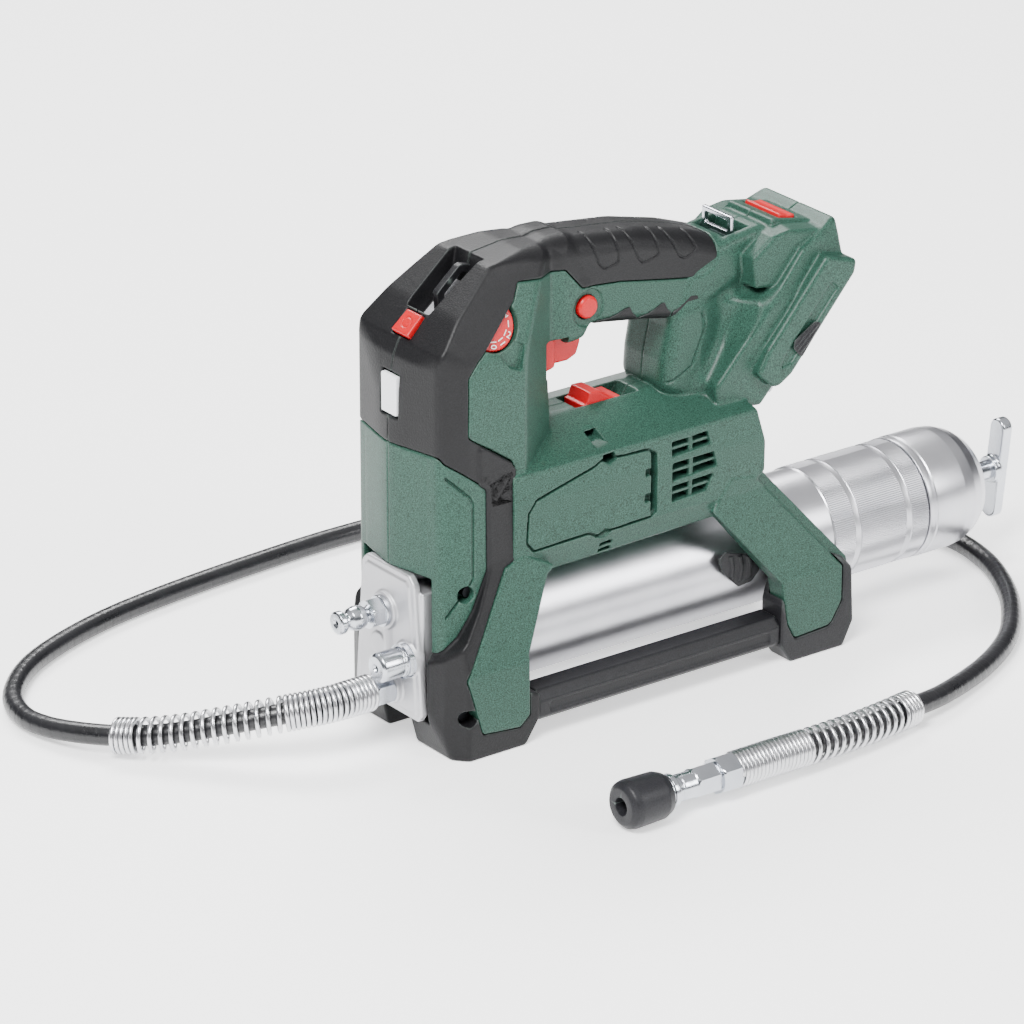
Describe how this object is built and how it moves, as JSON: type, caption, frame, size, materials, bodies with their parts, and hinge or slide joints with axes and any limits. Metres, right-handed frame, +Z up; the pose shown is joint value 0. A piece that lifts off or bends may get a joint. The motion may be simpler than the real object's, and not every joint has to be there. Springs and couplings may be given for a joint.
{
  "type": "cordless grease gun",
  "caption": "Cordless grease gun: D-handled pump body with a screw-on cartridge barrel, a pull-rod follower, and a high-pressure hose with coupler.",
  "frame": {"origin": "on the floor, under the middle of the tool's box (hose left out)", "axes": "+X from the pump front plate to the rear, +Y to the right-hand side, +Z up"},
  "size_m": [0.5049, 0.3556, 0.2311],
  "materials": {
    "green_pa": "fine spark-eroded texture, dark grey-green moulded polyamide",
    "soft_black": "soft black over-moulded elastomer, fine texture",
    "cast_alloy": "cast and bead blasted, light grey",
    "zinc_plate": "bright zinc plated and turned",
    "spring_steel": "bright drawn spring wire",
    "machined_steel": "machined steel",
    "black_screw": "blackened screws",
    "clear_lens": "milky clear lamp window",
    "circuit_board": "green circuit board",
    "black_plastic": "black glass-filled plastic",
    "copper_winding": "lacquered copper winding on a laminated core",
    "barrel_steel": "satin plated steel tube with a fine knurl",
    "rubber": "black rubber",
    "hose_rubber": "glossy black hose cover",
    "red_plastic": "red moulded plastic, slight gloss"
  },
  "bodies": {
    "tool": {"housing_left": "green_pa", "housing_right": "green_pa", "grip_cover_left": "soft_black", "grip_cover_right": "soft_black", "bumper_left": "soft_black", "bumper_right": "soft_black", "skid_rail_left": "soft_black", "skid_rail_right": "soft_black", "rear_foot_left": "soft_black", "rear_foot_right": "soft_black", "finger_inserts": "soft_black", "pump_head": "cast_alloy", "filler_nipple": "zinc_plate", "relief_valve": "zinc_plate", "valve_plug": "zinc_plate", "check_ball": "spring_steel", "check_spring": "spring_steel", "plate_screws": "zinc_plate", "housing_screws": "black_screw", "lamp_lens": "clear_lens", "lamp_board": "circuit_board", "strap_bar": "soft_black", "rear_strap_eye": "zinc_plate", "battery_rails": "machined_steel", "terminal_block": "black_plastic", "motor_can": "machined_steel", "motor_bearings": "machined_steel", "gearbox_case": "cast_alloy", "output_bearing": "machined_steel", "switch_body": "black_plastic", "control_board": "circuit_board", "guide_pads": "soft_black", "hose": "hose_rubber", "hose_spring_front": "spring_steel", "hose_spring_rear": "spring_steel", "hose_nut_front": "zinc_plate", "hose_nut_rear": "zinc_plate", "coupler": "zinc_plate", "coupler_cap": "rubber"},
    "trigger": {"trigger": "red_plastic"},
    "lock_off": {"lock_off_button": "red_plastic"},
    "lamp_button": {"lamp_button": "red_plastic"},
    "dose_wheel": {"dose_wheel": "red_plastic"},
    "gear_selector": {"gear_selector": "red_plastic"},
    "release_button": {"release_button": "red_plastic"},
    "barrel_latch": {"barrel_latch": "soft_black"},
    "motor": {"armature": "copper_winding", "cooling_fan": "black_plastic", "sun_pinion": "machined_steel"},
    "crank": {"planet_carrier": "machined_steel", "planet_gears": "machined_steel", "crank_disc": "machined_steel"},
    "plunger": {"plunger": "machined_steel"},
    "barrel": {"barrel_tube": "barrel_steel", "follower_spring": "spring_steel"},
    "end_cap": {"end_cap": "barrel_steel", "rod_seal": "rubber"},
    "follower": {"follower_rod": "zinc_plate", "t_handle": "zinc_plate", "follower_piston": "black_plastic"}
  },
  "joints": [
    {"name": "trigger_pull", "type": "hinge", "parent": "tool", "child": "trigger", "pos_m": [-0.09075, 0, 0.185], "axis": [0, -1, 0], "range_deg": [0, 7], "stiffness_Nm_per_rad": 0.35, "springref_deg": -8.59},
    {"name": "lock_off_press", "type": "slide", "parent": "tool", "child": "lock_off", "axis": [0, 1, 0], "range_m": [0, 0.003], "stiffness_N_per_m": 300, "springref_m": -0.001},
    {"name": "lamp_button_press", "type": "slide", "parent": "tool", "child": "lamp_button", "axis": [0.6691, 0, -0.7431], "range_m": [0, 0.0015], "stiffness_N_per_m": 400, "springref_m": -0.0008},
    {"name": "dose_wheel_turn", "type": "hinge", "parent": "tool", "child": "dose_wheel", "pos_m": [-0.13175, -0.0278, 0.2038], "axis": [0, 0.9336, -0.3584], "range_deg": [0, 300]},
    {"name": "gear_selector_slide", "type": "slide", "parent": "tool", "child": "gear_selector", "axis": [1, 0, 0], "range_m": [0, 0.008]},
    {"name": "release_button_press", "type": "slide", "parent": "tool", "child": "release_button", "axis": [-0.225, 0, -0.9744], "range_m": [0, 0.002], "stiffness_N_per_m": 500, "springref_m": -0.0008},
    {"name": "barrel_latch_slide", "type": "slide", "parent": "tool", "child": "barrel_latch", "axis": [-1, 0, 0], "range_m": [0, 0.004]},
    {"name": "crank_turn", "type": "hinge", "parent": "tool", "child": "crank", "pos_m": [-0.12075, 0, 0.109], "axis": [1, 0, 0], "continuous": true},
    {"name": "motor_turn", "type": "hinge", "parent": "tool", "child": "motor", "pos_m": [-0.06075, 0, 0.109], "axis": [1, 0, 0], "continuous": true},
    {"name": "plunger_stroke", "type": "slide", "parent": "tool", "child": "plunger", "axis": [0, 0, -1], "range_m": [0, 0.012]},
    {"name": "barrel_screw", "type": "hinge", "parent": "tool", "child": "barrel", "pos_m": [-0.02075, 0, 0.0445], "axis": [1, 0, 0], "range_deg": [0, 720]},
    {"name": "end_cap_screw", "type": "hinge", "parent": "barrel", "child": "end_cap", "pos_m": [0.12925, 0, 0.0445], "axis": [1, 0, 0], "range_deg": [0, 720]},
    {"name": "follower_pull", "type": "slide", "parent": "end_cap", "child": "follower", "axis": [1, 0, 0], "range_m": [0, 0.205], "stiffness_N_per_m": 150, "springref_m": -0.05, "deforming": ["follower_spring"]}
  ],
  "couplings": [
    {"joint": "motor_turn", "follows": "crank_turn", "ratio": 4.3111}
  ]
}
